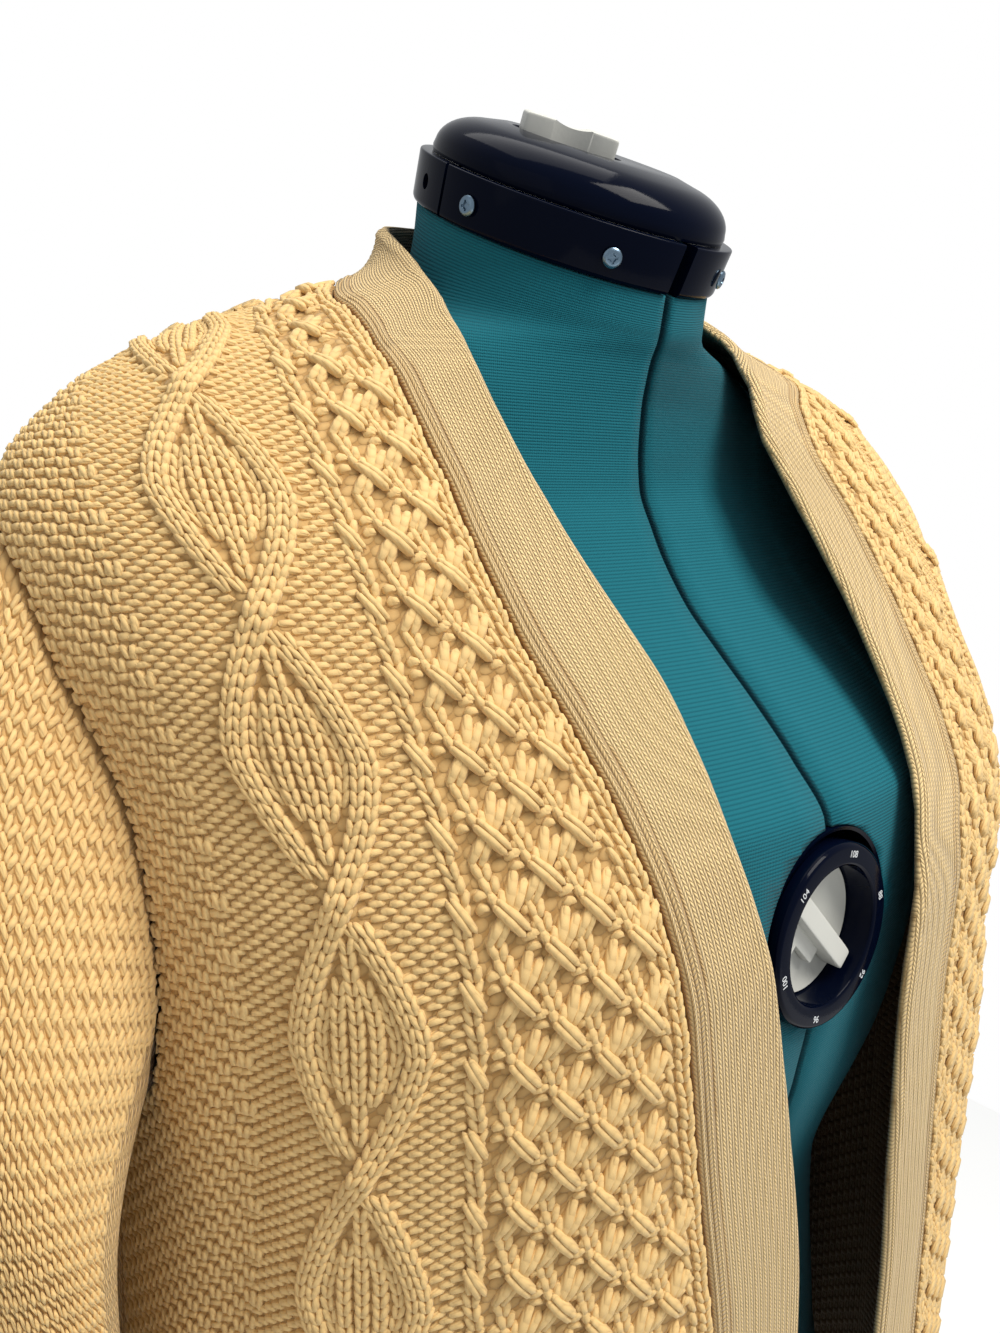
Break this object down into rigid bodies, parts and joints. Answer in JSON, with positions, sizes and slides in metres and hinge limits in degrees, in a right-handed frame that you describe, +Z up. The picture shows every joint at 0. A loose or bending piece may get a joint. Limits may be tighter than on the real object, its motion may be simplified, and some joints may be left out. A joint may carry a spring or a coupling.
{
  "type": "cable knit cardigan on a dress form",
  "caption": "Open-front cable knit cardigan with leaf cables, lattice and ribbed bands, worn by a limbless adjustable dress form on a pole and round base.",
  "frame": {"origin": "on the floor, at the centre of the bounding box's base, under the stand's pole", "axes": "+Z up; the front faces -Y; the wearer's right is -X"},
  "size_m": [0.544, 0.41, 1.5009],
  "materials": {
    "mustard_knit": "matt wool, cable knit",
    "mustard_rib": "matt wool, fine rib",
    "teal_cover": "matt jersey cover",
    "navy_plastic": "glossy",
    "white_plastic": "satin",
    "screw_steel": "smooth",
    "stand_paint": "satin black"
  },
  "bodies": {
    "root": {"front_right": "mustard_knit", "front_left": "mustard_knit", "back": "mustard_knit", "sleeve_right": "mustard_knit", "sleeve_left": "mustard_knit", "cuff_right": "mustard_rib", "cuff_left": "mustard_rib", "band": "mustard_rib", "hem_right": "mustard_rib", "hem_back": "mustard_rib", "hem_left": "mustard_rib", "torso": "teal_cover", "neck_collar": "navy_plastic", "neck_cap": "navy_plastic", "dial_ring": "navy_plastic", "neck_knob": "white_plastic", "dial_dish": "white_plastic", "dial_knob": "white_plastic", "collar_screw_1": "screw_steel", "collar_screw_2": "screw_steel", "collar_screw_3": "screw_steel", "collar_screw_4": "screw_steel", "collar_screw_5": "screw_steel", "collar_screw_6": "screw_steel", "stand_pole": "stand_paint", "stand_base": "stand_paint"}
  },
  "joints": []
}
